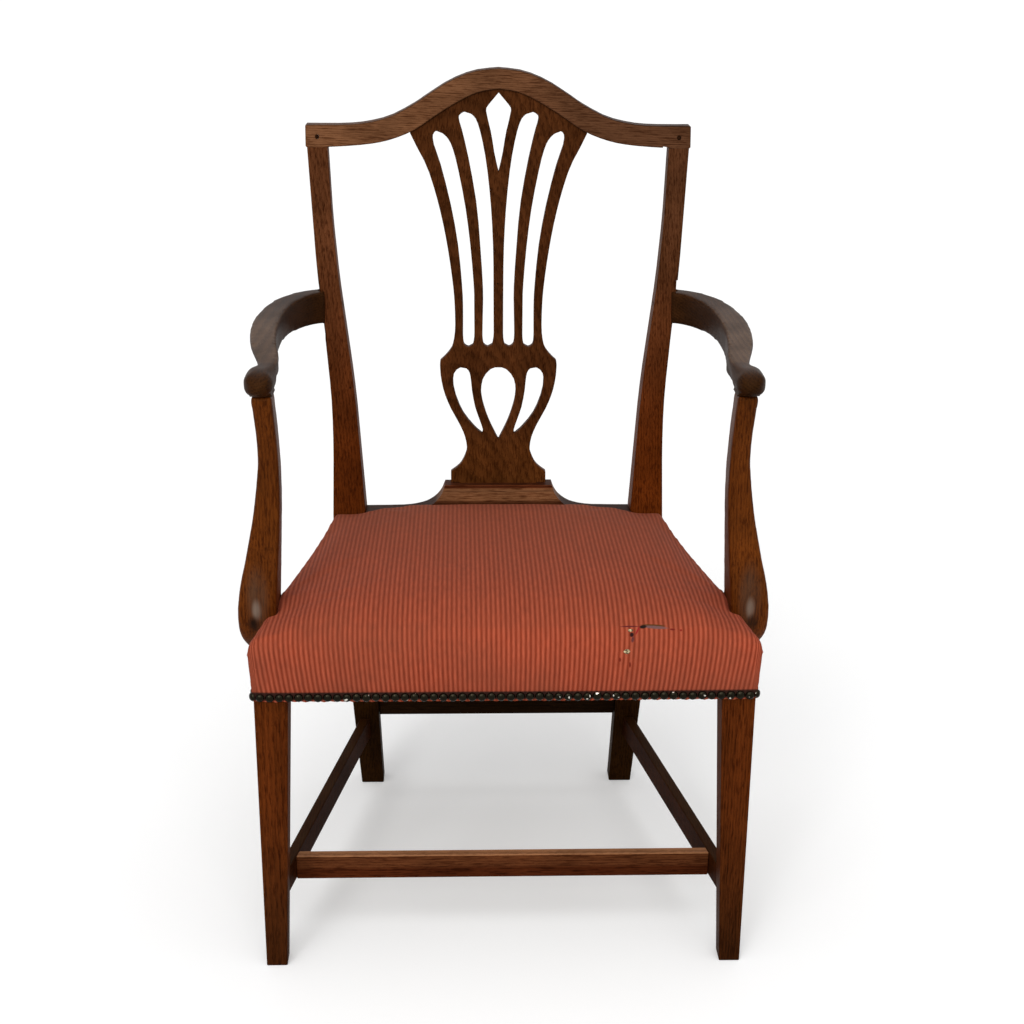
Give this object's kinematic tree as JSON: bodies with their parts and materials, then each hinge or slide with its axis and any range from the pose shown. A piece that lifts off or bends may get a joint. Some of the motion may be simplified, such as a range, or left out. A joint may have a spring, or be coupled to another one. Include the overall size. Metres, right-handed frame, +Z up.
{
  "type": "wooden elbow chair",
  "caption": "Elm elbow chair with a camel-back crest, a pierced vase splat, sweeping arms and an over-stuffed seat in ribbed cloth edged with domed nails.",
  "frame": {"origin": "on the floor, under the middle of the chair's bounding box", "axes": "+Z up from the floor to the crest, -Y the way the sitter faces, +X to the right when the chair is seen from its front"},
  "size_m": [0.596, 0.5106, 0.968],
  "materials": {
    "elm_frame": "aged waxed elm, red-brown, satin",
    "elm_crest": "aged waxed elm, worn paler, satin",
    "elm_splat": "aged waxed elm, dark, satin",
    "elm_arms": "aged waxed elm, worn greyish on the top faces, satin",
    "elm_stretchers": "aged waxed elm, darkest, satin",
    "beech_rails": "bare beech, dull",
    "ribbed_cloth": "corded stripe cloth, terracotta and rust, matt",
    "stuffing": "curled horsehair pad, matt",
    "canvas": "plain hessian, matt",
    "webbing": "jute webbing, matt",
    "antique_brass": "darkened antique brass, satin",
    "iron_screws": "dull iron"
  },
  "bodies": {
    "root": {"front_leg_left": "elm_frame", "front_leg_right": "elm_frame", "back_post_left": "elm_frame", "back_post_right": "elm_frame", "crest_rail": "elm_crest", "splat": "elm_splat", "shoe": "elm_splat", "crest_peg_left": "elm_splat", "crest_peg_right": "elm_splat", "arm_left": "elm_arms", "arm_right": "elm_arms", "arm_support_left": "elm_frame", "arm_support_right": "elm_frame", "front_rail": "beech_rails", "side_rail_left": "beech_rails", "side_rail_right": "beech_rails", "back_rail": "elm_frame", "front_corner_block_left": "beech_rails", "front_corner_block_right": "beech_rails", "back_corner_block_left": "beech_rails", "back_corner_block_right": "beech_rails", "side_stretcher_left": "elm_stretchers", "side_stretcher_right": "elm_stretchers", "cross_stretcher": "elm_stretchers", "back_stretcher": "elm_stretchers", "seat_webbing": "webbing", "base_canvas": "canvas", "seat_stuffing": "stuffing", "seat_cover": "ribbed_cloth", "front_nails": "antique_brass", "side_nails_left": "antique_brass", "side_nails_right": "antique_brass", "arm_screw_left": "iron_screws", "arm_screw_right": "iron_screws", "support_screw_left": "iron_screws", "support_screw_right": "iron_screws", "arm_plug_left": "elm_splat", "arm_plug_right": "elm_splat"}
  },
  "joints": []
}
